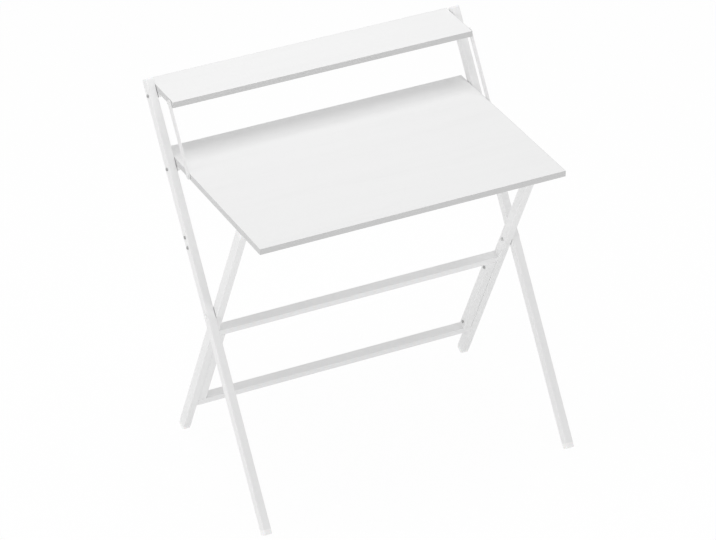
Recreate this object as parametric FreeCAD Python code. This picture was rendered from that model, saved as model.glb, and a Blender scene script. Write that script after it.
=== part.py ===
import FreeCAD, Part
import math
import os

# Folding writing desk with a raised rear shelf. Lengths in millimetres, angles in degrees.
# X runs across the desk, +Y to its back, +Z up from the floor.

# Boards
board_width = 800
board_thickness = 15
desktop_depth = 530
desktop_height = 775
shelf_depth = 137
shelf_rise = 149
band_thickness = 1
band_round = 0.5

# Leg tubes: long legs run from the rear posts to the front feet, short legs the other way
leg_width = 20
leg_depth = 25
leg_wall = 1.2
inner_corner = 0.3
long_lean = 34.1
rest_inset = 115.6
pivot_height = 449.5
side_gap = 1
leg_gap = 1
post_overrun = 41.6
splice_rise_share = 0.5035
splice_pitch = 25.5
splice_length = 80
splice_wall = 1.5

# Stretcher frame of square tube, bolted to the inner faces of the short legs
rail_size = 22
rail_wall = 1.2
upper_bar_drop = 74.5
lower_bar_rise = 112.4
upper_bolt_offset = 38.5
lower_bolt_offset = 28.5

# Hinge brackets under both boards
hinge_drop = 10
desk_hinge_inset = 59.65
shelf_hinge_inset = 39.65
bracket_length = 48
bracket_reach = 32
bracket_thickness = 2
bracket_bend = 1
bracket_shoulder = 5
bracket_corner = 6
eye_radius = 9
bracket_screw_pitch = 30

# Link bars that keep the shelf level with the desktop
link_reach = 81
link_width = 15
link_thickness = 3
link_washer_thickness = 0.6
link_washer_diameter = 11

# Stop angles under the desktop, just ahead of the inner half of the short legs
stop_length = 34
stop_overlap = 8
stop_reach = 26
stop_height = 15
stop_screw_pitch = 18

# Plastic end caps
plug_length = 20
plug_wall = 2
cap_corner = 3
cap_round = 2.2
foot_height = 13
foot_flat_depth = 3
post_cap_height = 5
rest_cap_height = 8

# Fasteners
bolt_diameter = 5
bolt_head_diameter = 8.5
bolt_head_height = 3.5
bolt_socket = 3
bolt_socket_depth = 2
nut_across = 8
nut_height = 2.7
nut_bevel = 0.6
pivot_cap_diameter = 12.5
pivot_cap_wall = 1
washer_diameter = 12
rivet_nut_diameter = 7
rivet_nut_length = 13
splice_screw_diameter = 5
splice_head_diameter = 9
splice_head_height = 2.5
splice_screw_length = 7
splice_socket = 3
splice_socket_depth = 1.2
wood_screw_diameter = 4
wood_screw_length = 13
wood_head_diameter = 8
wood_head_height = 2.2
wood_socket = 2.5
wood_socket_depth = 1.2
link_screw_diameter = 5
link_screw_length = 28
link_head_diameter = 9
link_head_height = 2.5
link_socket = 3
link_socket_depth = 1.4
head_round_share = 0.7
point_share = 0.2

# How near an edge lies to a height or a side to be taken as on it
edge_match = 0.05

# Clearances: pressed and threaded fits, running fits, faces that slide, and the freed upper link pivot
seat_fit = 0.05
run_fit = 0.08
face_play = 0.1
plug_fit = 0.15
rest_play = 0.3
free_pivot_fit = 0.4

# Places worked out from the sizes above, with Y measured from the leg pivot for now
board_side = board_width / 2
long_inner = board_side + side_gap
long_outer = long_inner + leg_width
long_middle = long_inner + leg_width / 2
short_outer = long_inner - leg_gap
short_inner = short_outer - leg_width
short_middle = short_inner + leg_width / 2
rail_inner = short_inner - rail_size
stop_middle = short_inner + stop_overlap - stop_length / 2
long_angle = math.radians(long_lean)

desk_underside = desktop_height - board_thickness
desk_hinge_z = desk_underside - hinge_drop
shelf_hinge_z = desk_hinge_z + shelf_rise
desk_hinge_s = (desk_hinge_z - pivot_height) / math.cos(long_angle)
shelf_hinge_s = (shelf_hinge_z - pivot_height) / math.cos(long_angle)
desk_hinge_y = desk_hinge_s * math.sin(long_angle)
shelf_hinge_y = shelf_hinge_s * math.sin(long_angle)
desk_rear_y = desk_hinge_y + desk_hinge_inset
desk_front_y = desk_rear_y - desktop_depth
shelf_rear_y = shelf_hinge_y + shelf_hinge_inset
link_length = shelf_hinge_s - desk_hinge_s
post_top_s = shelf_hinge_s + post_overrun - post_cap_height
splice_rise = desk_hinge_s * splice_rise_share

# The short legs lean so that they meet the desktop at their inset from its front edge
rest_z = desk_underside - rest_play
short_angle = math.atan2(-desk_front_y - rest_inset, rest_z - pivot_height)
short_lean = math.degrees(short_angle)
rest_s = (rest_z - pivot_height) / math.cos(short_angle)
rest_slope = leg_depth / 2 * math.tan(short_angle)
rest_front_y = -(rest_s + rest_slope) * math.sin(short_angle) - leg_depth / 2 * math.cos(short_angle)
short_top_s = rest_s - rest_slope - rest_cap_height

# Distances along each leg from the pivot down to the square end of its foot, whose lowest corner is cut flat
long_foot_z = pivot_height + foot_flat_depth - leg_depth / 2 * math.sin(long_angle)
long_foot_s = -long_foot_z / math.cos(long_angle)
short_foot_z = pivot_height + foot_flat_depth - leg_depth / 2 * math.sin(short_angle)
short_foot_s = -short_foot_z / math.cos(short_angle)
lower_bar_drop = -short_foot_s - lower_bar_rise
upper_bolt_drop = upper_bar_drop + upper_bolt_offset
lower_bolt_drop = lower_bar_drop - lower_bolt_offset

ORIGIN = FreeCAD.Vector(0, 0, 0)
RIGHT = FreeCAD.Vector(1, 0, 0)
LEFT = FreeCAD.Vector(-1, 0, 0)
BACK = FreeCAD.Vector(0, 1, 0)
UP = FreeCAD.Vector(0, 0, 1)
DOWN = FreeCAD.Vector(0, 0, -1)


def point(x, y, z):
    """Place in space."""
    return FreeCAD.Vector(x, y, z)


def lean_long(shape):
    """Tilt an upright piece drawn about the leg pivot into the long legs."""
    return lean(shape, -long_lean)


def lean_short(shape):
    """Tilt an upright piece drawn about the leg pivot into the short legs."""
    return lean(shape, short_lean)


def lean(shape, angle):
    """Turn a piece about the leg pivot's line and lift it to the pivot's height."""
    leaned = shape.copy()
    leaned.rotate(ORIGIN, RIGHT, angle)
    leaned.translate(point(0, 0, pivot_height))
    return leaned


def place(shape, seat, facing):
    """Turn a piece drawn along +Z to face another way and set it on its seat."""
    placed = shape.copy()
    placed.Placement = FreeCAD.Placement(seat, FreeCAD.Rotation(UP, facing))
    return placed


def moved(shape, offset):
    """Shifted copy of a piece."""
    shifted = shape.copy()
    shifted.translate(offset)
    return shifted


def mirrored(shape):
    """Left twin of a piece of the right side."""
    return shape.mirror(ORIGIN, RIGHT)


def upright_edges(shape):
    """Straight edges that run along Z."""
    chosen = []
    for edge in shape.Edges:
        run = edge.Vertexes[-1].Point - edge.Vertexes[0].Point
        if abs(run.z) > run.cross(UP).Length:
            chosen.append(edge)
    return chosen


def rim_edges(shape, height):
    """Edges that lie flat at one height."""
    rim = []
    for edge in shape.Edges:
        box = edge.BoundBox
        if abs(box.ZMin - height) < edge_match and abs(box.ZMax - height) < edge_match:
            rim.append(edge)
    return rim


def prism(width, depth, corner, low, high):
    """Upright bar with rounded corners, centred on the Z axis."""
    bar = Part.makeBox(width, depth, high - low, point(-width / 2, -depth / 2, low))
    return bar.makeFillet(corner, upright_edges(bar))


def tube(width, depth, wall, low, high):
    """Upright rectangular tube, open at both ends."""
    outer = prism(width, depth, inner_corner + wall, low, high)
    bore = prism(width - 2 * wall, depth - 2 * wall, inner_corner, low, high)
    return outer.cut(bore)


def plug(low, high):
    """Hollow part of an end cap that is pushed into a leg tube."""
    shrink = 2 * (leg_wall + plug_fit)
    return tube(leg_width - shrink, leg_depth - shrink, plug_wall, low, high)


def cross_hole(radius, height, start, end):
    """Hole along X at one height of an upright tube."""
    return Part.makeCylinder(radius, end - start, point(start, 0, height), RIGHT)


def hexagon(across, low, high):
    """Upright hexagonal prism."""
    radius = across / math.sqrt(3)
    corners = [point(radius * math.cos(turn), radius * math.sin(turn), low)
               for turn in (math.radians(60 * count) for count in range(7))]
    return Part.Face(Part.makePolygon(corners)).extrude(UP * (high - low))


def headed_pin(diameter, length, head_diameter, head_height, socket, socket_depth):
    """Bolt or screw along Z: the head's underside is at 0, the shank runs down from it."""
    head = Part.makeCylinder(head_diameter / 2, head_height)
    head = head.makeFillet(head_height * head_round_share, rim_edges(head, head_height))
    head = head.cut(hexagon(socket, head_height - socket_depth, head_height))
    shank = Part.makeCylinder(diameter / 2, length, ORIGIN, DOWN)
    return head.fuse(shank).removeSplitter()


def pointed_screw(diameter, length, head_diameter, head_height, socket, socket_depth):
    """Wood screw along Z with a tapered point."""
    taper = length * point_share
    pin = headed_pin(diameter, length - taper, head_diameter, head_height, socket, socket_depth)
    tip = Part.makeCone(diameter / 2, diameter / 2 * point_share, taper, point(0, 0, taper - length), DOWN)
    return pin.fuse(tip).removeSplitter()


def ring(outer_diameter, bore_radius, thickness):
    """Flat washer along Z, standing on 0."""
    disc = Part.makeCylinder(outer_diameter / 2, thickness)
    return disc.cut(Part.makeCylinder(bore_radius, thickness))


def hex_nut():
    """Bevelled nut along Z, standing on 0."""
    body = hexagon(nut_across, 0, nut_height)
    radius = nut_across / math.sqrt(3)
    straight = Part.makeCylinder(radius, nut_height - nut_bevel)
    bevel = Part.makeCone(radius, radius - nut_bevel, nut_bevel, point(0, 0, nut_height - nut_bevel))
    body = body.common(straight.fuse(bevel))
    return body.cut(Part.makeCylinder(bolt_diameter / 2 + seat_fit, nut_height))


def leg_bolt(grip):
    """Socket bolt long enough for what it grips and its nut."""
    return headed_pin(bolt_diameter, grip + nut_height, bolt_head_diameter, bolt_head_height,
                      bolt_socket, bolt_socket_depth)


def upper_post():
    """Rear post above the splice, with holes for both board hinges."""
    post = tube(leg_width, leg_depth, leg_wall, splice_rise, post_top_s)
    bolt_radius = bolt_diameter / 2 + seat_fit
    for height in (desk_hinge_s, shelf_hinge_s):
        post = post.cut(cross_hole(bolt_radius, height, -leg_width, leg_width))
    screw_height = splice_rise + splice_pitch / 2
    return post.cut(cross_hole(splice_screw_diameter / 2 + seat_fit, screw_height, 0, leg_width))


def lower_leg():
    """Long leg below the splice, with the leg pivot hole."""
    leg = tube(leg_width, leg_depth, leg_wall, long_foot_s + foot_height, splice_rise)
    leg = leg.cut(cross_hole(bolt_diameter / 2 + seat_fit, 0, -leg_width, leg_width))
    screw_height = splice_rise - splice_pitch / 2
    return leg.cut(cross_hole(splice_screw_diameter / 2 + seat_fit, screw_height, 0, leg_width))


def leg_splice():
    """Inner sleeve that joins a post to its lower leg."""
    shrink = 2 * (leg_wall + plug_fit)
    sleeve = tube(leg_width - shrink, leg_depth - shrink, splice_wall,
                  splice_rise - splice_length / 2, splice_rise + splice_length / 2)
    screw_radius = splice_screw_diameter / 2 + seat_fit
    for step in (-splice_pitch / 2, splice_pitch / 2):
        sleeve = sleeve.cut(cross_hole(screw_radius, splice_rise + step, 0, leg_width))
    return sleeve


def splice_screws():
    """Two screws from the outer face of a long leg into its splice."""
    screw = headed_pin(splice_screw_diameter, splice_screw_length, splice_head_diameter, splice_head_height,
                       splice_socket, splice_socket_depth)
    return [place(screw, point(leg_width / 2, 0, splice_rise + step), RIGHT)
            for step in (-splice_pitch / 2, splice_pitch / 2)]


def post_cap():
    """Rounded cap on the top of a post."""
    top = post_top_s + post_cap_height
    cap = prism(leg_width, leg_depth, cap_corner, post_top_s, top)
    cap = cap.makeFillet(cap_round, rim_edges(cap, top))
    return cap.fuse(plug(post_top_s - plug_length, post_top_s)).removeSplitter()


def foot(end):
    """Rounded foot on the lower end of a leg."""
    cap = prism(leg_width, leg_depth, cap_corner, end, end + foot_height)
    cap = cap.makeFillet(cap_round, rim_edges(cap, end))
    return cap.fuse(plug(end + foot_height, end + foot_height + plug_length)).removeSplitter()


def levelled(shape, low, high):
    """Cut a leaned cap level below one height and above another."""
    layer = Part.makeBox(2 * board_width, 2 * board_width, high - low, point(-board_width, -board_width, low))
    return shape.common(layer)


def short_leg():
    """Short leg tube with its pivot hole and the holes of two rivet nuts in its inner wall."""
    leg = tube(leg_width, leg_depth, leg_wall, short_foot_s + foot_height, short_top_s)
    leg = leg.cut(cross_hole(bolt_diameter / 2 + run_fit, 0, -leg_width, leg_width))
    for drop in (upper_bolt_drop, lower_bolt_drop):
        leg = leg.cut(cross_hole(rivet_nut_diameter / 2 + seat_fit, -drop, -leg_width, 0))
    return leg


def rest_cap():
    """Cap on the top of a short leg, drawn past the desktop's underside and levelled there later."""
    cap = prism(leg_width, leg_depth, cap_corner, short_top_s, rest_s + leg_depth)
    return cap.fuse(plug(short_top_s - plug_length, short_top_s)).removeSplitter()


def crossbar(drop):
    """Square tube between the short legs."""
    bar = tube(rail_size, rail_size, rail_wall, -short_inner, short_inner)
    bar.rotate(ORIGIN, BACK, 90)
    return moved(bar, point(0, 0, -drop))


def side_rail():
    """Square tube between the crossbars, against the inner face of a short leg."""
    low = rail_size / 2 - lower_bar_drop
    high = -upper_bar_drop - rail_size / 2
    rail = tube(rail_size, rail_size, rail_wall, low, high)
    for drop in (upper_bolt_drop, lower_bolt_drop):
        rail = rail.cut(cross_hole(bolt_diameter / 2 + seat_fit, -drop, -rail_size, rail_size))
    return rail


def stretcher_bolts():
    """Two bolts through a side rail into the short leg."""
    bolt = headed_pin(bolt_diameter, rail_size + rivet_nut_length, bolt_head_diameter, bolt_head_height,
                      bolt_socket, bolt_socket_depth)
    return [place(bolt, point(rail_inner, 0, -drop), LEFT) for drop in (upper_bolt_drop, lower_bolt_drop)]


def rivet_nuts():
    """Two threaded inserts in the inner wall of a short leg."""
    insert = ring(rivet_nut_diameter, bolt_diameter / 2 + seat_fit, rivet_nut_length)
    return [place(insert, point(short_inner, 0, -drop), RIGHT) for drop in (upper_bolt_drop, lower_bolt_drop)]


def pivot_bolt():
    """Bolt on which a long leg and a short leg cross."""
    return place(leg_bolt(2 * leg_width + leg_gap), point(long_outer, 0, 0), RIGHT)


def pivot_washer():
    """Spacer between a long leg and a short leg."""
    spacer = ring(washer_diameter, bolt_diameter / 2 + seat_fit, leg_gap - face_play)
    return place(spacer, point(long_inner, 0, 0), LEFT)


def pivot_nut():
    """Nut on the inner face of a short leg."""
    return place(hex_nut(), point(short_inner - face_play, 0, 0), LEFT)


def pivot_cap():
    """Domed cover over the head of a pivot bolt."""
    height = bolt_head_height + pivot_cap_wall
    cover = Part.makeCylinder(pivot_cap_diameter / 2, height)
    cover = cover.makeFillet(height * head_round_share, rim_edges(cover, height))
    pocket = Part.makeCylinder(bolt_head_diameter / 2 + seat_fit, bolt_head_height + seat_fit)
    return place(cover.cut(pocket), point(long_outer, 0, 0), RIGHT)


def hinge_bolt(height):
    """Bolt through a post and a hinge bracket."""
    return place(leg_bolt(leg_width + side_gap + bracket_thickness), point(long_outer, 0, height), RIGHT)


def hinge_washer(height):
    """Spacer between a post and a hinge bracket."""
    spacer = ring(washer_diameter, bolt_diameter / 2 + seat_fit, side_gap - face_play)
    return place(spacer, point(long_inner, 0, height), LEFT)


def hinge_nut(height):
    """Nut on the inner face of a hinge bracket."""
    return place(hex_nut(), point(board_side - bracket_thickness - face_play, 0, height), LEFT)


def angle_section(reach, height, thickness, bend):
    """L section in the XZ plane: outer corner at 0, one flange to -X and one down."""
    outer = bend + thickness
    rest_share = 1 - math.sqrt(0.5)
    outer_bow = Part.Arc(point(-outer, 0, 0), point(-outer * rest_share, 0, -outer * rest_share),
                         point(0, 0, -outer))
    inner_middle = -thickness - bend * rest_share
    inner_bow = Part.Arc(point(-thickness, 0, -outer), point(inner_middle, 0, inner_middle),
                         point(-outer, 0, -thickness))
    edges = [outer_bow.toShape(),
             Part.makeLine(point(0, 0, -outer), point(0, 0, -height)),
             Part.makeLine(point(0, 0, -height), point(-thickness, 0, -height)),
             Part.makeLine(point(-thickness, 0, -height), point(-thickness, 0, -outer)),
             inner_bow.toShape(),
             Part.makeLine(point(-outer, 0, -thickness), point(-reach, 0, -thickness)),
             Part.makeLine(point(-reach, 0, -thickness), point(-reach, 0, 0)),
             Part.makeLine(point(-reach, 0, 0), point(-outer, 0, 0))]
    return Part.Face(Part.Wire(edges))


def eye_outline():
    """Side outline of a hinge bracket: a straight upper edge that narrows to a round eye."""
    half = bracket_length / 2
    shoulder = hinge_drop - bracket_shoulder
    away = math.hypot(half, shoulder)
    touch = math.atan2(shoulder, half) - math.acos(eye_radius / away)
    touch_y = eye_radius * math.cos(touch)
    touch_z = eye_radius * math.sin(touch)
    corners = [point(0, -touch_y, touch_z), point(0, -half, shoulder), point(0, -half, hinge_drop),
               point(0, half, hinge_drop), point(0, half, shoulder), point(0, touch_y, touch_z)]
    edges = [Part.makeLine(first, second) for first, second in zip(corners, corners[1:])]
    edges.append(Part.Arc(corners[-1], point(0, 0, -eye_radius), corners[0]).toShape())
    return Part.Face(Part.Wire(edges))


def hinge_bracket():
    """Bent steel bracket on the right side, with its hinge line at 0 and the board's side edge at X 0."""
    height = hinge_drop + eye_radius
    section = angle_section(bracket_reach, height, bracket_thickness, bracket_bend)
    section.translate(point(0, -bracket_length / 2, hinge_drop))
    bracket = section.extrude(BACK * bracket_length)
    bracket = bracket.common(moved(eye_outline(), LEFT * bracket_reach).extrude(RIGHT * bracket_reach))
    free_end = edge_match - bracket_reach
    free_corners = [edge for edge in upright_edges(bracket) if edge.BoundBox.XMax < free_end]
    bracket = bracket.makeFillet(bracket_corner, free_corners)
    bracket = bracket.cut(cross_hole(bolt_diameter / 2 + run_fit, 0, -bracket_reach, bracket_reach))
    for spot in bracket_screw_spots():
        drill = Part.makeCylinder(wood_screw_diameter / 2 + seat_fit, bracket_reach, spot)
        bracket = bracket.cut(drill)
    return bracket


def bracket_screw_spots():
    """Screw places of a hinge bracket, on the lower face of its flat flange."""
    return [point(-bracket_reach / 2, step, hinge_drop - bracket_thickness)
            for step in (-bracket_screw_pitch / 2, bracket_screw_pitch / 2)]


def bracket_screws():
    """Two wood screws that hold a hinge bracket."""
    screw = pointed_screw(wood_screw_diameter, wood_screw_length, wood_head_diameter, wood_head_height,
                          wood_socket, wood_socket_depth)
    return [place(screw, spot, DOWN) for spot in bracket_screw_spots()]


def leg_stop():
    """Angle that stops the short leg from spreading, with the leg's top behind its upright flange."""
    section = angle_section(stop_reach, stop_height, bracket_thickness, bracket_bend)
    angle = moved(section, point(0, -stop_length / 2, 0)).extrude(BACK * stop_length)
    for spot in stop_screw_spots():
        drill = Part.makeCylinder(wood_screw_diameter / 2 + seat_fit, stop_height, spot)
        angle = angle.cut(drill)
    return face_back(angle)


def stop_screw_spots():
    """Screw places of a stop angle before it is turned to face the back."""
    return [point(-stop_reach / 2, step, -bracket_thickness)
            for step in (-stop_screw_pitch / 2, stop_screw_pitch / 2)]


def stop_screws():
    """Two wood screws that hold a stop angle."""
    screw = pointed_screw(wood_screw_diameter, wood_screw_length, wood_head_diameter, wood_head_height,
                          wood_socket, wood_socket_depth)
    return [face_back(place(screw, spot, DOWN)) for spot in stop_screw_spots()]


def face_back(shape):
    """Turn a stop piece so that its outer face looks back, and set it ahead of the short leg's top."""
    turned = shape.copy()
    turned.rotate(ORIGIN, UP, 90)
    turned.translate(point(stop_middle, rest_front_y - rest_play, desk_underside))
    return turned


def link_bar():
    """Flat steel link with a close hole at its lower end and a freed hole at its upper end."""
    half = link_width / 2
    bar = Part.makeBox(link_thickness, link_width, link_length, point(0, -half, 0))
    for height in (0, link_length):
        bar = bar.fuse(Part.makeCylinder(half, link_thickness, point(0, 0, height), RIGHT))
    bar = bar.removeSplitter()
    for height, fit in ((0, run_fit), (link_length, free_pivot_fit)):
        bar = bar.cut(cross_hole(link_screw_diameter / 2 + fit, height, 0, link_thickness))
    bar.rotate(ORIGIN, RIGHT, -long_lean)
    inner_face = board_side + link_washer_thickness
    return moved(bar, point(inner_face, desk_hinge_y - link_reach, link_height(desk_hinge_z)))


def link_height(hinge_z):
    """Height of a link pivot: the middle of the board above a hinge line."""
    return hinge_z + hinge_drop + board_thickness / 2


def link_screw(hinge_y, hinge_z):
    """Shouldered screw through a link into the side edge of a board."""
    screw = headed_pin(link_screw_diameter, link_screw_length, link_head_diameter, link_head_height,
                       link_socket, link_socket_depth)
    outside = board_side + link_washer_thickness + link_thickness + face_play
    return place(screw, point(outside, hinge_y - link_reach, link_height(hinge_z)), RIGHT)


def link_washer(hinge_y, hinge_z):
    """Thin spacer between a board's side edge and a link."""
    washer = ring(link_washer_diameter, link_screw_diameter / 2 + seat_fit, link_washer_thickness - face_play)
    return place(washer, point(board_side, hinge_y - link_reach, link_height(hinge_z)), RIGHT)


def board_blank(depth, rear_y, top_z, inset):
    """Plain board, drawn in from its outline by an inset."""
    corner = point(inset - board_side, rear_y - depth + inset, top_z - board_thickness)
    return Part.makeBox(board_width - 2 * inset, depth - 2 * inset, board_thickness, corner)


def drilled(shape, screws, diameter, length):
    """Board or band with the pilot holes of some screws, each made from the screw's own place."""
    for screw in screws:
        seat = screw.Placement.Base
        along = screw.Placement.Rotation.multVec(DOWN)
        shape = shape.cut(Part.makeCylinder(diameter / 2 + seat_fit, length, seat, along))
    return shape


def board(depth, rear_y, top_z):
    """Board inside its edge band."""
    return board_blank(depth, rear_y, top_z, band_thickness)


def edge_band(depth, rear_y, top_z):
    """Rounded band glued round the edge of a board."""
    outline = board_blank(depth, rear_y, top_z, 0)
    outline = outline.makeFillet(band_round, outline.Edges)
    return outline.cut(board(depth, rear_y, top_z))


def both_sides(shapes):
    """Pieces of the right side with their mirror images."""
    return list(shapes) + [mirrored(shape) for shape in shapes]


def long_leg_nodes():
    """Posts, lower legs and what stays fixed to them."""
    nodes = {}
    centred = {"upper_post": upper_post(), "lower_leg": lower_leg(), "leg_splice": leg_splice(),
               "post_cap": post_cap(), "front_foot": foot(long_foot_s)}
    for name, shape in centred.items():
        right = lean_long(moved(shape, point(long_middle, 0, 0)))
        if name == "front_foot":
            right = levelled(right, 0, pivot_height)
        nodes["right_" + name] = right
        nodes["left_" + name] = mirrored(right)
    screws = [lean_long(moved(screw, point(long_middle, 0, 0))) for screw in splice_screws()]
    nodes["splice_screws"] = both_sides(screws)
    pivot = {"leg_pivot_bolts": pivot_bolt(), "leg_pivot_washers": pivot_washer(),
             "leg_pivot_nuts": pivot_nut(), "leg_pivot_caps": pivot_cap()}
    for name, shape in pivot.items():
        nodes[name] = both_sides([lean_long(shape)])
    for side, height in (("desk", desk_hinge_s), ("shelf", shelf_hinge_s)):
        nodes[side + "_hinge_bolts"] = both_sides([lean_long(hinge_bolt(height))])
        nodes[side + "_hinge_washers"] = both_sides([lean_long(hinge_washer(height))])
        nodes[side + "_hinge_nuts"] = both_sides([lean_long(hinge_nut(height))])
    return nodes


def short_leg_nodes():
    """Short legs, stretcher frame and their fasteners."""
    nodes = {}
    centred = {"short_leg": short_leg(), "rest_cap": rest_cap(), "rear_foot": foot(short_foot_s)}
    for name, shape in centred.items():
        right = levelled(lean_short(moved(shape, point(short_middle, 0, 0))), 0, rest_z)
        nodes["right_" + name] = right
        nodes["left_" + name] = mirrored(right)
    rail = lean_short(moved(side_rail(), point(short_inner - rail_size / 2, 0, 0)))
    nodes["right_side_rail"] = rail
    nodes["left_side_rail"] = mirrored(rail)
    nodes["upper_crossbar"] = lean_short(crossbar(upper_bar_drop))
    nodes["lower_crossbar"] = lean_short(crossbar(lower_bar_drop))
    nodes["stretcher_bolts"] = both_sides([lean_short(bolt) for bolt in stretcher_bolts()])
    nodes["stretcher_rivet_nuts"] = both_sides([lean_short(insert) for insert in rivet_nuts()])
    return nodes


def board_nodes(name, depth, rear_y, top_z, hinge_y, hinge_z, extra_screws):
    """One board with its edge band, hinge brackets, link fastenings and screws."""
    at_hinge = point(board_side, hinge_y, hinge_z)
    bracket = moved(hinge_bracket(), at_hinge)
    screws = both_sides_screws([moved(screw, at_hinge) for screw in bracket_screws()])
    links = both_sides_screws([link_screw(hinge_y, hinge_z)])
    panel = board(depth, rear_y, top_z)
    panel = drilled(panel, screws + extra_screws, wood_screw_diameter, wood_screw_length)
    panel = drilled(panel, links, link_screw_diameter, link_screw_length)
    band = drilled(edge_band(depth, rear_y, top_z), links, link_screw_diameter, link_screw_length)
    return {
        name + "_board": panel,
        name + "_edge_band": band,
        "right_" + name + "_bracket": bracket,
        "left_" + name + "_bracket": mirrored(bracket),
        name + "_bracket_screws": screws,
        name + "_link_screws": links,
        name + "_link_washers": both_sides([link_washer(hinge_y, hinge_z)]),
    }


def both_sides_screws(screws):
    """Screws of the right side with turned copies on the left, which keep their own placements."""
    turned = []
    for screw in screws:
        seat = screw.Placement.Base
        facing = screw.Placement.Rotation.multVec(UP)
        twin = screw.copy()
        twin.Placement = FreeCAD.Placement(point(-seat.x, seat.y, seat.z),
                                           FreeCAD.Rotation(UP, point(-facing.x, facing.y, facing.z)))
        turned.append(twin)
    return screws + turned


def desk_nodes():
    """Every piece of the desk, by name."""
    nodes = long_leg_nodes()
    nodes.update(short_leg_nodes())
    stops = both_sides_screws(stop_screws())
    nodes.update(board_nodes("desktop", desktop_depth, desk_rear_y, desktop_height,
                             desk_hinge_y, desk_hinge_z, stops))
    nodes["right_leg_stop"] = leg_stop()
    nodes["left_leg_stop"] = mirrored(leg_stop())
    nodes["leg_stop_screws"] = stops
    nodes.update(board_nodes("shelf", shelf_depth, shelf_rear_y, desktop_height + shelf_rise,
                             shelf_hinge_y, shelf_hinge_z, []))
    nodes["right_link_bar"] = link_bar()
    nodes["left_link_bar"] = mirrored(link_bar())
    return nodes


def main():
    """Build the desk, centre it over its footprint and write one file per piece."""
    os.makedirs("parts", exist_ok=True)
    shapes = {}
    for name, piece in desk_nodes().items():
        shapes[name] = Part.makeCompound(piece) if isinstance(piece, list) else piece
    box = Part.makeCompound(list(shapes.values())).optimalBoundingBox(False, False)
    centre_shift = point(0, -(box.YMin + box.YMax) / 2, 0)
    for name, shape in shapes.items():
        moved(shape, centre_shift).exportStep("parts/" + name + ".step")
    print("pieces", len(shapes), "box", box.XLength, box.YLength, box.ZLength, "shift", centre_shift.y)
    print("desk hinge", desk_hinge_y + centre_shift.y, desk_hinge_z)
    print("shelf hinge", shelf_hinge_y + centre_shift.y, shelf_hinge_z)
    print("leg pivot", centre_shift.y, pivot_height)
    print("lower link pivot", desk_hinge_y - link_reach + centre_shift.y, link_height(desk_hinge_z))


main()
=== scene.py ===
"""Dressed model of a white folding desk with a raised shelf.

Adds the finishes, weld beads, bolt ends, studio and camera.
Lengths are in metres, the camera's lens and sensor in millimetres, and angles in degrees.
"""

import logging
import math
from abc import ABC, abstractmethod
from dataclasses import dataclass, field
from enum import Enum
from typing import Callable, Iterator

import bmesh
import bpy
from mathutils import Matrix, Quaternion, Vector


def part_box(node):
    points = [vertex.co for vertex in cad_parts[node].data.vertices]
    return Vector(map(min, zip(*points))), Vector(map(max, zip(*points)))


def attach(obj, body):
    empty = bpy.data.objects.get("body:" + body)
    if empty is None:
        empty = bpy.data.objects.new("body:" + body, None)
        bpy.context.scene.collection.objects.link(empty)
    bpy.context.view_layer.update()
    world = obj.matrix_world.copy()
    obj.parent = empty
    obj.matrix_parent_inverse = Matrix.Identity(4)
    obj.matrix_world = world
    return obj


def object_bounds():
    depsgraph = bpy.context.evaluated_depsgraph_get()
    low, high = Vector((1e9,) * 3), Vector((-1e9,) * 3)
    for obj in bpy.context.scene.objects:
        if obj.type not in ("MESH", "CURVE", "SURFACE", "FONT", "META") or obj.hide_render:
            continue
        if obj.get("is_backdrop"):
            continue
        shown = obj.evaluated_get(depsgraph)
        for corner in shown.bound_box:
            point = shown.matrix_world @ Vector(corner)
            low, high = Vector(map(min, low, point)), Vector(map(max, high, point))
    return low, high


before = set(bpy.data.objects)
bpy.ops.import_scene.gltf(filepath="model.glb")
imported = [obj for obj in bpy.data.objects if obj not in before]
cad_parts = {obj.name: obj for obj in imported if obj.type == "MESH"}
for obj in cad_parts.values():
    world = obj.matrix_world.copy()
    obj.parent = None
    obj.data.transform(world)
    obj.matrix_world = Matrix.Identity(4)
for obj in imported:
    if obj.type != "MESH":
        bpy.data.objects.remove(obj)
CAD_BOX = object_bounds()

LOG = logging.getLogger("folding_desk")
MM = 0.001
SCREEN_WHITE = 255
SCREEN_OFFSET = 0.055
SCREEN_POWER = 2.4

Colour = tuple[float, float, float, float]
Range = tuple[float, float]
Scale = tuple[float, float, float]
Place = tuple[float, float, float]
Corners = tuple[Vector, Vector]


class Side(Enum):
    """Left or right half of the desk, with the sign of its X."""

    LEFT = -1
    RIGHT = 1

    @property
    def prefix(self) -> str:
        """Start of the names of this side's pieces."""
        return self.name.lower() + "_"


class Body(Enum):
    """Moving bodies of the desk that added pieces ride on."""

    LONG_LEGS = "long_legs"
    SHORT_LEGS = "short_legs"


class Slot(Enum):
    """Material slot names passed along with added pieces; nothing reads them."""

    LEG_PAINT = "leg_paint"
    PLAIN_STEEL = "plain_steel"


def grey(level: float) -> Colour:
    """Neutral colour from its brightness on a screen.

    Args:
        level: Screen brightness from 0 to SCREEN_WHITE.

    Returns:
        The linear colour, with full alpha.
    """
    share = level / SCREEN_WHITE
    light = ((share + SCREEN_OFFSET) / (1 + SCREEN_OFFSET)) ** SCREEN_POWER
    return light, light, light, 1.0


def even(scale: float) -> Scale:
    """The same scale along X, Y and Z."""
    return scale, scale, scale


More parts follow.
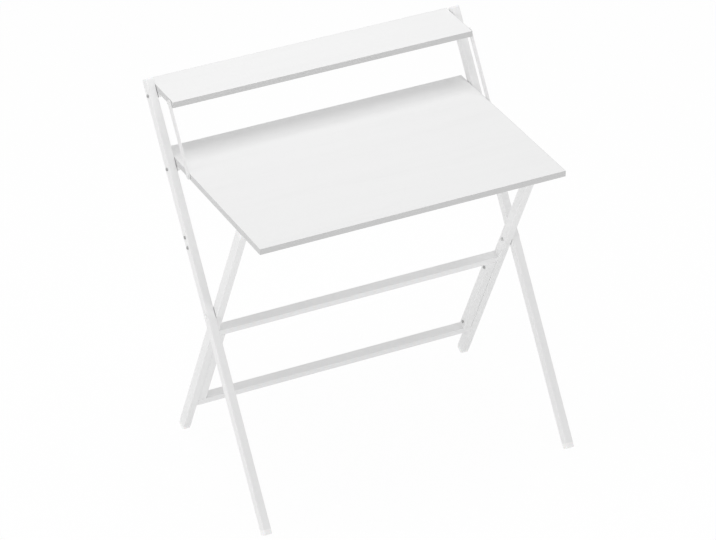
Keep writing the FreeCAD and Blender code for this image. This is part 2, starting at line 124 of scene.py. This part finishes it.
class ShaderBench:
    """Shader nodes of one material, with short ways to add and join them."""

    def __init__(self, name: str) -> None:
        """Start a material with a principled shader.

        Args:
            name: Name of the material.
        """
        self.material = bpy.data.materials.new(name)
        self.material.use_nodes = True
        self.nodes = self.material.node_tree.nodes
        self.links = self.material.node_tree.links
        self.shader = self.nodes["Principled BSDF"]
        self.place = self.nodes.new("ShaderNodeTexCoord").outputs["Object"]

    def set(self, **values: float) -> None:
        """Set constant sockets of the shader, named with underscores for spaces."""
        for name, value in values.items():
            self.shader.inputs[name.replace("_", " ")].default_value = value

    def feed(self, socket: bpy.types.NodeSocket, name: str) -> None:
        """Join a node's output to a socket of the shader."""
        self.links.new(socket, self.shader.inputs[name])

    def noise(self, scale: Scale, detail: float, swirl: float = 0.0,
              seed: float = 0.0) -> bpy.types.NodeSocket:
        """Noise that may run along one direction.

        Args:
            scale: Features per metre along X, Y and Z.
            detail: Finer layers added to the noise.
            swirl: How much the noise is distorted.
            seed: Shift that gives another part of the pattern.

        Returns:
            The noise's output, about 0 to 1.
        """
        mapping = self.nodes.new("ShaderNodeMapping")
        mapping.inputs["Scale"].default_value = scale
        mapping.inputs["Location"].default_value = even(seed)
        self.links.new(self.place, mapping.inputs["Vector"])
        texture = self.nodes.new("ShaderNodeTexNoise")
        texture.inputs["Scale"].default_value = 1.0
        texture.inputs["Detail"].default_value = detail
        texture.inputs["Distortion"].default_value = swirl
        self.links.new(mapping.outputs["Vector"], texture.inputs["Vector"])
        return texture.outputs["Fac"]

    def mixed(self, first: bpy.types.NodeSocket, second: bpy.types.NodeSocket,
              share: float) -> bpy.types.NodeSocket:
        """Blend of two patterns.

        Args:
            first: Pattern that shows where the share is 0.
            second: Pattern that shows where the share is 1.
            share: How much of the second pattern shows.

        Returns:
            The blended pattern.
        """
        mix = self.nodes.new("ShaderNodeMix")
        mix.inputs["Factor"].default_value = share
        self.links.new(first, mix.inputs["A"])
        self.links.new(second, mix.inputs["B"])
        return mix.outputs["Result"]

    def ramp(self, pattern: bpy.types.NodeSocket, stops: tuple[float, ...],
             colours: tuple[Colour, ...]) -> bpy.types.NodeSocket:
        """Colours spread over a pattern.

        Args:
            pattern: Pattern from 0 to 1.
            stops: Rising places on the pattern, one for each colour.
            colours: Colours at those places.

        Returns:
            The coloured pattern.
        """
        ramp = self.nodes.new("ShaderNodeValToRGB")
        elements = ramp.color_ramp.elements
        while len(elements) < len(stops):
            elements.new(1.0)
        for element, stop, colour in zip(elements, stops, colours):
            element.position = stop
            element.color = colour
        self.links.new(pattern, ramp.inputs["Fac"])
        return ramp.outputs["Color"]

    def spread(self, pattern: bpy.types.NodeSocket, low: float,
               high: float) -> bpy.types.NodeSocket:
        """Pattern stretched between two values.

        Args:
            pattern: Pattern from 0 to 1.
            low: Value where the pattern is 0.
            high: Value where the pattern is 1.

        Returns:
            The stretched pattern.
        """
        stretch = self.nodes.new("ShaderNodeMapRange")
        stretch.inputs["To Min"].default_value = low
        stretch.inputs["To Max"].default_value = high
        self.links.new(pattern, stretch.inputs["Value"])
        return stretch.outputs["Result"]

    def relief(self, pattern: bpy.types.NodeSocket, strength: float, depth: float) -> None:
        """Raise the surface by a pattern.

        Args:
            pattern: Heights from 0 to 1.
            strength: How strongly the relief shows.
            depth: Height of the relief in metres.
        """
        bump = self.nodes.new("ShaderNodeBump")
        bump.inputs["Strength"].default_value = strength
        bump.inputs["Distance"].default_value = depth
        self.links.new(pattern, bump.inputs["Height"])
        self.feed(bump.outputs["Normal"], "Normal")


class Finish(ABC):
    """Surface finish that makes its own material."""

    @abstractmethod
    def material(self) -> bpy.types.Material:
        """Make the finish's material."""


@dataclass(frozen=True)
class PowderCoat(Finish):
    """White powder paint on steel tube and plate, with a fine orange-peel skin."""

    name: str
    colour: Colour
    shade: Colour
    roughness: Range = (0.40, 0.50)
    gloss: float = 0.35
    cloud_scale: float = 7.0
    cloud_detail: float = 3.0
    peel_scale: float = 620.0
    peel_detail: float = 2.0
    peel_swirl: float = 0.3
    peel_share: float = 0.35
    peel_strength: float = 0.10
    peel_depth: float = 0.25 * MM
    tone_stops: Range = (0.25, 0.75)

    def material(self) -> bpy.types.Material:
        """Paint with slow changes of tone and a fine pebbled relief.

        Returns:
            The new material.
        """
        bench = ShaderBench(self.name)
        cloud = bench.noise(even(self.cloud_scale), self.cloud_detail)
        peel = bench.noise(even(self.peel_scale), self.peel_detail, self.peel_swirl)
        tone = bench.mixed(cloud, peel, self.peel_share)
        bench.feed(bench.ramp(tone, self.tone_stops, (self.shade, self.colour)), "Base Color")
        bench.feed(bench.spread(tone, *self.roughness), "Roughness")
        bench.set(Specular_IOR_Level=self.gloss)
        bench.relief(peel, self.peel_strength, self.peel_depth)
        return bench.material


@dataclass(frozen=True)
class GrainedMelamine(Finish):
    """White melamine face with a pressed wood grain that runs along the board."""

    name: str
    colour: Colour
    shade: Colour
    pore: Colour
    seed: float
    roughness: Range = (0.42, 0.56)
    gloss: float = 0.35
    streak_scale: Scale = (1.4, 24.0, 24.0)
    streak_detail: float = 4.0
    streak_swirl: float = 0.8
    pore_scale: Scale = (9.0, 420.0, 420.0)
    pore_detail: float = 3.0
    pore_swirl: float = 0.2
    pore_share: float = 0.4
    pore_strength: float = 0.16
    pore_depth: float = 0.15 * MM
    grain_stops: tuple[float, float, float] = (0.30, 0.46, 0.70)

    def material(self) -> bpy.types.Material:
        """Broad pale streaks with fine pores pressed into them.

        Returns:
            The new material.
        """
        bench = ShaderBench(self.name)
        streaks = bench.noise(self.streak_scale, self.streak_detail, self.streak_swirl, self.seed)
        pores = bench.noise(self.pore_scale, self.pore_detail, self.pore_swirl, self.seed)
        grain = bench.mixed(streaks, pores, self.pore_share)
        colours = (self.pore, self.shade, self.colour)
        bench.feed(bench.ramp(grain, self.grain_stops, colours), "Base Color")
        bench.feed(bench.spread(pores, *self.roughness), "Roughness")
        bench.set(Specular_IOR_Level=self.gloss)
        bench.relief(pores, self.pore_strength, self.pore_depth)
        return bench.material


@dataclass(frozen=True)
class EdgeFoil(Finish):
    """Glued edge band with fine lines along the edge."""

    name: str
    colour: Colour
    shade: Colour
    roughness: Range = (0.45, 0.58)
    gloss: float = 0.3
    line_scale: Scale = (5.0, 5.0, 900.0)
    line_detail: float = 2.0
    line_strength: float = 0.12
    line_depth: float = 0.1 * MM
    cloud_scale: float = 11.0
    cloud_detail: float = 2.0
    cloud_share: float = 0.4
    tone_stops: Range = (0.3, 0.7)

    def material(self) -> bpy.types.Material:
        """Band with long fine lines and a slow change of tone.

        Returns:
            The new material.
        """
        bench = ShaderBench(self.name)
        lines = bench.noise(self.line_scale, self.line_detail)
        cloud = bench.noise(even(self.cloud_scale), self.cloud_detail)
        tone = bench.mixed(lines, cloud, self.cloud_share)
        bench.feed(bench.ramp(tone, self.tone_stops, (self.shade, self.colour)), "Base Color")
        bench.feed(bench.spread(lines, *self.roughness), "Roughness")
        bench.set(Specular_IOR_Level=self.gloss)
        bench.relief(lines, self.line_strength, self.line_depth)
        return bench.material


@dataclass(frozen=True)
class MouldedPlastic(Finish):
    """White moulded cap with a fine sparked texture."""

    name: str
    colour: Colour
    shade: Colour
    roughness: Range = (0.48, 0.60)
    gloss: float = 0.4
    milky_share: float = 0.03
    milky_depth: float = 1.0 * MM
    pit_scale: float = 1500.0
    pit_detail: float = 1.0
    pit_strength: float = 0.12
    pit_depth: float = 0.08 * MM
    flow_scale: float = 45.0
    flow_detail: float = 3.0
    flow_swirl: float = 1.2
    flow_stops: Range = (0.3, 0.7)

    def material(self) -> bpy.types.Material:
        """Plastic with fine pits and faint flow clouds.

        Returns:
            The new material.
        """
        bench = ShaderBench(self.name)
        pits = bench.noise(even(self.pit_scale), self.pit_detail)
        flow = bench.noise(even(self.flow_scale), self.flow_detail, self.flow_swirl)
        bench.feed(bench.ramp(flow, self.flow_stops, (self.shade, self.colour)), "Base Color")
        bench.feed(bench.spread(pits, *self.roughness), "Roughness")
        bench.set(Specular_IOR_Level=self.gloss)
        bench.set(Subsurface_Weight=self.milky_share, Subsurface_Scale=self.milky_depth)
        bench.relief(pits, self.pit_strength, self.pit_depth)
        return bench.material


@dataclass(frozen=True)
class PlatedSteel(Finish):
    """Plated or blackened steel of fasteners and sleeves."""

    name: str
    colour: Colour
    shade: Colour
    metallic: float
    roughness: Range
    stain_scale: float = 380.0
    stain_detail: float = 3.0
    stain_swirl: float = 0.5
    stain_stops: Range = (0.3, 0.7)
    mark_scale: Scale = (2600.0, 700.0, 700.0)
    mark_detail: float = 2.0
    mark_strength: float = 0.18
    mark_depth: float = 0.05 * MM

    def material(self) -> bpy.types.Material:
        """Steel with plating stains and short tool marks.

        Returns:
            The new material.
        """
        bench = ShaderBench(self.name)
        stains = bench.noise(even(self.stain_scale), self.stain_detail, self.stain_swirl)
        marks = bench.noise(self.mark_scale, self.mark_detail)
        bench.feed(bench.ramp(stains, self.stain_stops, (self.shade, self.colour)), "Base Color")
        bench.feed(bench.spread(marks, *self.roughness), "Roughness")
        bench.set(Metallic=self.metallic)
        bench.relief(marks, self.mark_strength, self.mark_depth)
        return bench.material


class Palette:
    """One material for each finish, made once and shared by the pieces."""

    def __init__(self) -> None:
        """Choose the finishes and make their materials."""
        self.leg_paint = PowderCoat("leg_paint", colour=grey(240), shade=grey(236)).material()
        self.bracket_paint = PowderCoat("bracket_paint", colour=grey(236), shade=grey(231),
                                        cloud_scale=18.0, peel_scale=800.0).material()
        face = {"colour": grey(241), "shade": grey(240), "pore": grey(238)}
        self.desktop_face = GrainedMelamine("desktop_melamine", **face, seed=0.0).material()
        self.shelf_face = GrainedMelamine("shelf_melamine", **face, seed=3.7).material()
        # The edge band's grey is set below the boards' white as painted shade for the boards'
        # vertical edges.
        self.edge_band = EdgeFoil("edge_band", colour=grey(212), shade=grey(207)).material()
        self.cap_plastic = MouldedPlastic("cap_plastic", colour=grey(248),
                                          shade=grey(244)).material()
        self.fastener_steel = PlatedSteel("fastener_steel", colour=grey(186), shade=grey(162),
                                          metallic=0.6, roughness=(0.38, 0.55)).material()
        self.plain_steel = PlatedSteel("plain_steel", colour=grey(224), shade=grey(206),
                                       metallic=1.0, roughness=(0.28, 0.42)).material()


def dress(nodes: list[str], material: bpy.types.Material) -> None:
    """Give CAD nodes a finish.

    Args:
        nodes: Names of the nodes.
        material: Their material.
    """
    for name in nodes:
        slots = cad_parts[name].data.materials
        slots.clear()
        slots.append(material)
        LOG.info("dressed %s with %s", name, material.name)


def both(name: str) -> list[str]:
    """Names of the left and right twins of a piece."""
    return [side.prefix + name for side in Side]


def side_box(node: str, side: Side) -> Corners:
    """Box of the part of a node that lies on one side of the desk.

    Args:
        node: Name of a node with pieces on both sides.
        side: Side to measure.

    Returns:
        Lowest and highest corner.
    """
    points = [vertex.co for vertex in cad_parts[node].data.vertices]
    corners = [point for point in points if point.x * side.value > 0]
    low = Vector([min(axis) for axis in zip(*corners)])
    high = Vector([max(axis) for axis in zip(*corners)])
    return low, high


def middle(box: Corners) -> Vector:
    """Centre of a box."""
    return (box[0] + box[1]) / 2


def add_piece(name: str, mesh: bmesh.types.BMesh, material: bpy.types.Material, body: Body,
              slot: Slot) -> None:
    """Turn a finished mesh into a piece that rides on a body.

    Args:
        name: Name of the piece.
        mesh: Its closed mesh, in the desk's frame; it is used up.
        material: Its finish.
        body: Body that carries it.
        slot: Material slot of its finish; not used.
    """
    bmesh.ops.recalc_face_normals(mesh, faces=mesh.faces)
    data = bpy.data.meshes.new(name)
    mesh.to_mesh(data)
    mesh.free()
    data.shade_smooth()
    data.materials.append(material)
    piece = bpy.data.objects.new(name, data)
    bpy.context.scene.collection.objects.link(piece)
    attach(piece, body.value)
    LOG.info("built %s with %d faces on %s", name, len(data.polygons), body.value)


def skin(mesh: bmesh.types.BMesh, place: Callable[[int, int], Vector], rings: int,
         around: int) -> None:
    """Closed skin through rings of points, with a flat lid on both ends.

    Args:
        mesh: Mesh that the skin is added to.
        place: Gives the point of a ring number and a step round it.
        rings: Count of rings.
        around: Count of points on each ring.
    """
    loops = [[mesh.verts.new(place(ring, step)) for step in range(around)] for ring in range(rings)]
    for first, second in zip(loops, loops[1:]):
        for step in range(around):
            after = (step + 1) % around
            mesh.faces.new((first[step], first[after], second[after], second[step]))
    mesh.faces.new(loops[0])
    mesh.faces.new(loops[-1])


@dataclass
class WeldBead:
    """Rippled weld bead along a straight seam."""

    width: float = 4.2 * MM
    height: float = 1.1 * MM
    root: float = 0.5 * MM
    ripple: float = 1.5 * MM
    ripple_share: float = 0.22
    bow: float = 0.9 * MM
    tip_share: float = 0.2
    tip_sharpness: int = 8
    rings_per_ripple: int = 6
    fewest_rings: int = 3
    around: int = 14

    def lay(self, mesh: bmesh.types.BMesh, start: Vector, end: Vector, rise: Vector) -> None:
        """Lay the bead on a seam.

        Args:
            mesh: Mesh that the bead is added to.
            start: Start of the seam.
            end: End of the seam.
            rise: Direction in which the bead stands up from the seam.
        """
        run = end - start
        along = run.normalized()
        across = rise.cross(along).normalized()
        rings = max(self.fewest_rings, int(run.length / self.ripple * self.rings_per_ripple))

        def place(ring: int, step: int) -> Vector:
            """Point of the bead's skin: a low arch above the seam and a shallow root below it.

            Args:
                ring: Number of the ring along the seam.
                step: Number of the point round the ring.

            Returns:
                The point, in the desk's frame.
            """
            turn = 2 * math.pi * step / self.around
            share = ring / (rings - 1)
            taper = max(self.tip_share, math.sqrt(1 - abs(2 * share - 1) ** self.tip_sharpness))
            phase = (share * run.length + self.bow * math.sin(turn)) / self.ripple
            scallop = 1 - self.ripple_share * abs(math.sin(math.pi * phase))
            upper = math.sin(turn) > 0
            lift = (self.height * scallop if upper else self.root) * math.sin(turn)
            aside = self.width / 2 * math.cos(turn)
            return start + run * share + taper * (across * aside + rise * lift)

        skin(mesh, place, rings, self.around)


@dataclass
class BoltEnd:
    """Threaded end of a bolt that stands out of its nut."""

    diameter: float = 5.0 * MM
    pitch: float = 0.8 * MM
    thread_depth: float = 0.4 * MM
    reach: float = 1.4 * MM
    chamfer: float = 0.5 * MM
    sunk: float = 0.3 * MM
    steps_per_pitch: int = 8
    around: int = 36

    def turn_up(self, mesh: bmesh.types.BMesh, seat: Vector, outward: Vector) -> None:
        """Add the threaded end.

        Args:
            mesh: Mesh that the end is added to.
            seat: Middle of the nut's outer face.
            outward: Direction in which the bolt points.
        """
        turn_to = Vector((0, 0, 1)).rotation_difference(outward).to_matrix()
        length = self.reach + self.sunk
        rings = int(length / self.pitch * self.steps_per_pitch) + 1

        def place(ring: int, step: int) -> Vector:
            """Point of a helical V thread with a chamfered tip.

            Args:
                ring: Number of the ring along the bolt.
                step: Number of the point round the ring.

            Returns:
                The point, in the desk's frame.
            """
            height = length * ring / (rings - 1)
            turn = step / self.around
            flank = abs(2 * ((height / self.pitch - turn) % 1.0) - 1)
            radius = self.diameter / 2 - self.thread_depth * flank
            limit = self.diameter / 2 - max(0.0, height - length + self.chamfer)
            radius = min(radius, limit)
            spoke = Vector((math.cos(2 * math.pi * turn), math.sin(2 * math.pi * turn), 0)) * radius
            return seat + turn_to @ (spoke + Vector((0, 0, height - self.sunk)))

        skin(mesh, place, rings, self.around)


@dataclass
class LongLegs:
    """Two long legs with their posts, splices, caps, feet and the bolts that they carry."""

    bolt_end: BoltEnd = field(default_factory=BoltEnd)
    painted: tuple[str, ...] = ("upper_post", "lower_leg")
    capped: tuple[str, ...] = ("post_cap", "front_foot")
    nut_nodes: tuple[str, ...] = ("leg_pivot_nuts", "desk_hinge_nuts", "shelf_hinge_nuts")
    dark_fasteners: tuple[str, ...] = ("splice_screws", "desk_hinge_bolts", "shelf_hinge_bolts")
    spacers: tuple[str, ...] = ("leg_pivot_washers", "desk_hinge_washers", "shelf_hinge_washers")

    def build(self, palette: Palette) -> None:
        """Add the threaded bolt ends that stand out of the nuts.

        Args:
            palette: Finishes of the desk.
        """
        for node in self.nut_nodes:
            mesh = bmesh.new()
            for side in Side:
                low, high = side_box(node, side)
                seat = middle((low, high))
                seat.x = low.x if side is Side.RIGHT else high.x
                self.bolt_end.turn_up(mesh, seat, Vector((-side.value, 0, 0)))
            name = node.replace("_nuts", "_bolt_ends")
            add_piece(name, mesh, palette.plain_steel, Body.LONG_LEGS, Slot.PLAIN_STEEL)

    def dress(self, palette: Palette) -> None:
        """Give the legs and their hardware their finishes.

        Args:
            palette: Finishes of the desk.
        """
        for piece in self.painted:
            dress(both(piece), palette.leg_paint)
        for piece in self.capped:
            dress(both(piece), palette.cap_plastic)
        dress(["leg_pivot_caps", *self.spacers], palette.cap_plastic)
        dress(list(self.dark_fasteners), palette.fastener_steel)
        dress([*both("leg_splice"), *self.nut_nodes, "leg_pivot_bolts"], palette.plain_steel)


@dataclass
class ShortLegs:
    """Two short legs with caps and feet, and the welded stretcher frame bolted between them."""

    bead: WeldBead = field(default_factory=WeldBead)
    bead_end_gap: float = 1.6 * MM
    crossbars: tuple[str, str] = ("upper_crossbar", "lower_crossbar")

    def build(self, palette: Palette) -> None:
        """Add the weld beads at the corners of the stretcher frame.

        Args:
            palette: Finishes of the desk.
        """
        for bar, other in (self.crossbars, self.crossbars[::-1]):
            mesh = bmesh.new()
            for side in Side:
                for start, end, rise in self.seams(bar, other, side):
                    self.bead.lay(mesh, start, end, rise)
            add_piece(bar + "_welds", mesh, palette.leg_paint, Body.SHORT_LEGS, Slot.LEG_PAINT)

    def seams(self, bar: str, other: str, side: Side) -> Iterator[tuple[Vector, Vector, Vector]]:
        """Seams of one corner of the stretcher frame.

        Args:
            bar: Crossbar that the side rail is welded to.
            other: Crossbar at the rail's other end.
            side: Side of the rail.

        Yields:
            Start, end and rise of the front, back and inner seam.
        """
        bar_middle = middle(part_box(bar))
        down_rail = (middle(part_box(other)) - bar_middle).normalized()
        rail_low, rail_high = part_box(side.prefix + "side_rail")
        half = (rail_high.x - rail_low.x) / 2
        across = Vector((1, 0, 0))
        out = across.cross(down_rail)
        joint = bar_middle + down_rail * half
        joint.x = (rail_low.x + rail_high.x) / 2
        reach = half - self.bead_end_gap
        for facing in (out, -out):
            face = joint + facing * half
            yield face - across * reach, face + across * reach, facing
        inward = across * -side.value
        corner = joint + inward * half
        yield corner - out * reach, corner + out * reach, (inward + down_rail).normalized()

    def dress(self, palette: Palette) -> None:
        """Give the legs, frame and hardware their finishes.

        Args:
            palette: Finishes of the desk.
        """
        dress(both("short_leg") + both("side_rail"), palette.leg_paint)
        dress(list(self.crossbars), palette.leg_paint)
        dress(both("rest_cap") + both("rear_foot"), palette.cap_plastic)
        dress(["stretcher_bolts"], palette.fastener_steel)
        dress(["stretcher_rivet_nuts"], palette.plain_steel)


@dataclass
class BoardAssembly:
    """One board with its edge band, hinge brackets, screws and link fastenings."""

    name: str
    extra_brackets: tuple[str, ...] = ()
    extra_screws: tuple[str, ...] = ()

    def dress(self, palette: Palette, face: bpy.types.Material) -> None:
        """Give the board and its hardware their finishes.

        Args:
            palette: Finishes of the desk.
            face: Material of the board's faces.
        """
        dress([self.name + "_board"], face)
        dress([self.name + "_edge_band"], palette.edge_band)
        dress(both(self.name + "_bracket") + list(self.extra_brackets), palette.bracket_paint)
        dress([self.name + "_link_screws"], palette.bracket_paint)
        dress([self.name + "_bracket_screws", *self.extra_screws], palette.fastener_steel)
        dress([self.name + "_link_washers"], palette.cap_plastic)


@dataclass
class LinkBars:
    """Two flat links that keep the shelf level with the desktop."""

    name: str = "link_bar"

    def dress(self, palette: Palette) -> None:
        """Paint both links."""
        dress(both(self.name), palette.bracket_paint)


@dataclass
class StudioCamera:
    """Camera that stands where the photograph was taken from."""

    azimuth: float = 26.495
    elevation: float = 31.40
    roll: float = -0.143
    distance: float = 9.573
    aim: Place = (-0.0082, 0.0, 0.4583)
    lens: float = 198.87
    sensor: float = 36.0

    def build(self) -> None:
        """Set up the camera and make it the scene's own."""
        data = bpy.data.cameras.new("camera")
        data.lens = self.lens
        data.sensor_width = self.sensor
        data.sensor_fit = "HORIZONTAL"
        camera = bpy.data.objects.new("camera", data)
        turn = math.radians(self.azimuth)
        climb = math.radians(self.elevation)
        away = math.cos(climb)
        back = Vector((-math.sin(turn) * away, -math.cos(turn) * away, math.sin(climb)))
        camera.location = Vector(self.aim) + back * self.distance
        tilt = Quaternion((0, 0, 1), math.radians(self.roll))
        camera.rotation_euler = ((-back).to_track_quat("-Z", "Y") @ tilt).to_euler()
        bpy.context.scene.collection.objects.link(camera)
        bpy.context.scene.camera = camera
        LOG.info("set up the camera")


@dataclass
class Lamp:
    """Soft rectangular lamp."""

    name: str
    place: Place
    aim: Place
    width: float
    depth: float
    power: float
    mirrored: bool = True

    def build(self) -> None:
        """Hang the lamp."""
        data = bpy.data.lights.new(self.name, "AREA")
        data.shape = "RECTANGLE"
        data.size = self.width
        data.size_y = self.depth
        data.energy = self.power
        lamp = bpy.data.objects.new(self.name, data)
        lamp.location = self.place
        beam = Vector(self.aim) - lamp.location
        lamp.rotation_euler = beam.to_track_quat("-Z", "Y").to_euler()
        lamp.visible_glossy = self.mirrored
        bpy.context.scene.collection.objects.link(lamp)
        LOG.info("hung %s", self.name)


@dataclass
class Studio:
    """White studio: floor, sky light, soft lamps and camera."""

    floor_size: float = 16.0
    floor_colour: Colour = grey(248)
    floor_glow: float = 0.95
    floor_light: float = 0.11
    sky_colour: Colour = grey(SCREEN_WHITE)
    sky_strength: float = 0.63
    seen_sky_strength: float = 1.0
    lamps: tuple[Lamp, ...] = (
        Lamp("overhead_panel", place=(-0.1, 0.2, 3.2), aim=(-0.1, 0.2, 0.0),
             width=2.4, depth=1.2, power=23.8),
        Lamp("left_panel", place=(-8.0, -2.0, 1.0), aim=(0.0, 0.0, 0.5),
             width=5.0, depth=4.0, power=175.0, mirrored=False),
        Lamp("front_panel", place=(1.0, -6.0, 0.4), aim=(0.0, 0.0, 0.5),
             width=4.0, depth=3.0, power=52.0, mirrored=False),
    )
    camera: StudioCamera = field(default_factory=StudioCamera)

    def build(self) -> None:
        """Set up the whole studio."""
        bpy.context.scene.view_settings.view_transform = "Standard"
        self.build_floor()
        self.build_sky()
        for lamp in self.lamps:
            lamp.build()
        self.camera.build()

    @staticmethod
    def seen_directly(nodes: bpy.types.Nodes, links: bpy.types.NodeLinks) -> bpy.types.NodeSocket:
        """Factor that is 1 where a surface is seen straight, in a reflection or through glass.

        Args:
            nodes: Nodes of the material or world.
            links: Their links.

        Returns:
            The factor's output.
        """
        path = nodes.new("ShaderNodeLightPath")
        total = path.outputs["Is Camera Ray"]
        for ray in ("Is Glossy Ray", "Is Transmission Ray"):
            larger = nodes.new("ShaderNodeMath")
            larger.operation = "MAXIMUM"
            links.new(total, larger.inputs[0])
            links.new(path.outputs[ray], larger.inputs[1])
            total = larger.outputs[0]
        return total

    def build_floor(self) -> None:
        """Lay the pale floor."""
        half = self.floor_size / 2
        data = bpy.data.meshes.new("floor")
        corners = [(-half, -half, 0), (half, -half, 0), (half, half, 0), (-half, half, 0)]
        data.from_pydata(corners, [], [(0, 1, 2, 3)])
        floor = bpy.data.objects.new("floor", data)
        bpy.context.scene.collection.objects.link(floor)
        floor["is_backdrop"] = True
        data.materials.append(self.floor_material())
        LOG.info("laid the floor")

    def floor_material(self) -> bpy.types.Material:
        """Finish that glows white to the camera and keeps a faint shadow.

        Returns:
            The new material.
        """
        material = bpy.data.materials.new("floor")
        material.use_nodes = True
        nodes = material.node_tree.nodes
        links = material.node_tree.links
        nodes.remove(nodes["Principled BSDF"])
        matte = nodes.new("ShaderNodeBsdfDiffuse")
        matte.inputs["Color"].default_value = self.floor_colour
        bounce = nodes.new("ShaderNodeEmission")
        bounce.inputs["Strength"].default_value = self.floor_light
        lit = nodes.new("ShaderNodeAddShader")
        links.new(matte.outputs["BSDF"], lit.inputs[0])
        links.new(bounce.outputs["Emission"], lit.inputs[1])
        glow = nodes.new("ShaderNodeEmission")
        share = nodes.new("ShaderNodeMath")
        share.operation = "MULTIPLY"
        share.inputs[1].default_value = self.floor_glow
        links.new(self.seen_directly(nodes, links), share.inputs[0])
        mix = nodes.new("ShaderNodeMixShader")
        links.new(share.outputs[0], mix.inputs["Fac"])
        links.new(lit.outputs["Shader"], mix.inputs[1])
        links.new(glow.outputs["Emission"], mix.inputs[2])
        links.new(mix.outputs["Shader"], nodes["Material Output"].inputs["Surface"])
        return material

    def build_sky(self) -> None:
        """Even sky light, white where the camera sees it."""
        world = bpy.data.worlds.new("studio")
        world.use_nodes = True
        bpy.context.scene.world = world
        nodes = world.node_tree.nodes
        links = world.node_tree.links
        light = nodes["Background"]
        light.inputs["Color"].default_value = self.sky_colour
        light.inputs["Strength"].default_value = self.sky_strength
        white = nodes.new("ShaderNodeBackground")
        white.inputs["Color"].default_value = self.sky_colour
        white.inputs["Strength"].default_value = self.seen_sky_strength
        mix = nodes.new("ShaderNodeMixShader")
        links.new(self.seen_directly(nodes, links), mix.inputs["Fac"])
        links.new(light.outputs["Background"], mix.inputs[1])
        links.new(white.outputs["Background"], mix.inputs[2])
        links.new(mix.outputs["Shader"], nodes["World Output"].inputs["Surface"])
        LOG.info("lit the sky")


def write_sizes() -> None:
    """Put the CAD box and the dressed model's box side by side, without keeping or writing them."""
    boxes = {"cad": CAD_BOX, "visual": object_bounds()}
    {name: [list(corner) for corner in box] for name, box in boxes.items()}


def main() -> None:
    """Build and dress the desk's assemblies, then the studio round them."""
    logging.basicConfig(level=logging.INFO, format="%(message)s")
    palette = Palette()
    long_legs = LongLegs()
    long_legs.build(palette)
    long_legs.dress(palette)
    short_legs = ShortLegs()
    short_legs.build(palette)
    short_legs.dress(palette)
    desktop = BoardAssembly("desktop", tuple(both("leg_stop")), ("leg_stop_screws",))
    desktop.dress(palette, palette.desktop_face)
    BoardAssembly("shelf").dress(palette, palette.shelf_face)
    LinkBars().dress(palette)
    Studio().build()
    write_sizes()


if __name__ == "__main__":
    main()
